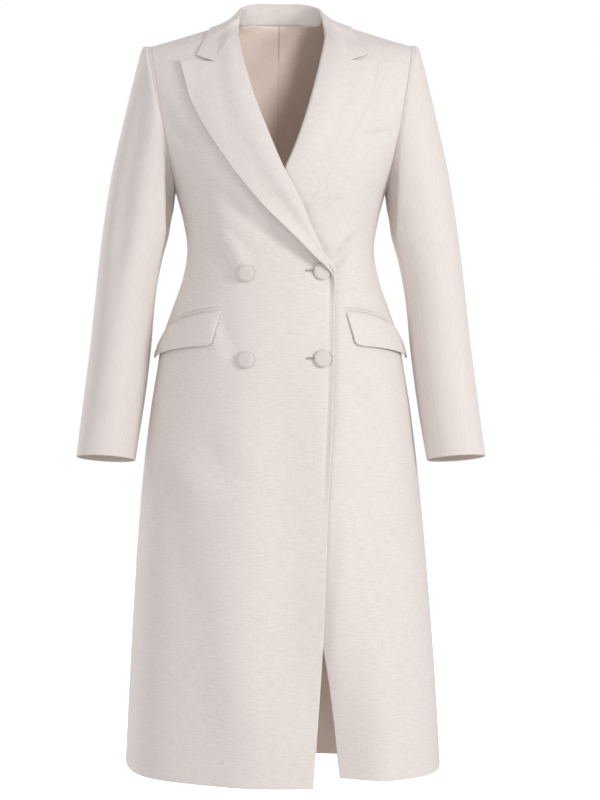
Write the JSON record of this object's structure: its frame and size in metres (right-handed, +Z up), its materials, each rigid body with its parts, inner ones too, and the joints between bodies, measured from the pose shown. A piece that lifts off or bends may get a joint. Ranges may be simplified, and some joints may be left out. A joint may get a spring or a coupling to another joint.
{
  "type": "double-breasted wool coat",
  "caption": "Long tailored wool coat, hollow as worn, with peaked lapels, a double-breasted front, flap pockets and set-in sleeves.",
  "frame": {"origin": "between the shoulders, level with the neck ends of the shoulder seams, where a wearer's shoulders carry the coat", "axes": "+X to the coat's own left, -Y out of its front, +Z up"},
  "size_m": [0.6084, 0.3485, 1.1592],
  "materials": {
    "wool": "matte ivory wool in a fine plain weave",
    "button_cloth": "the same wool stretched over a domed button"
  },
  "bodies": {
    "root": {"front_right": "wool", "front_left": "wool", "back_right": "wool", "back_left": "wool", "sleeve_right_upper": "wool", "sleeve_right_under": "wool", "sleeve_left_upper": "wool", "sleeve_left_under": "wool", "lapel_right": "wool", "lapel_left": "wool", "collar_stand": "wool", "collar_fall": "wool", "pocket_flap_right": "wool", "pocket_flap_left": "wool", "pocket_welt_right": "wool", "pocket_welt_left": "wool", "button_right_upper": "button_cloth", "button_right_lower": "button_cloth", "button_left_upper": "button_cloth", "button_left_lower": "button_cloth"}
  },
  "joints": []
}
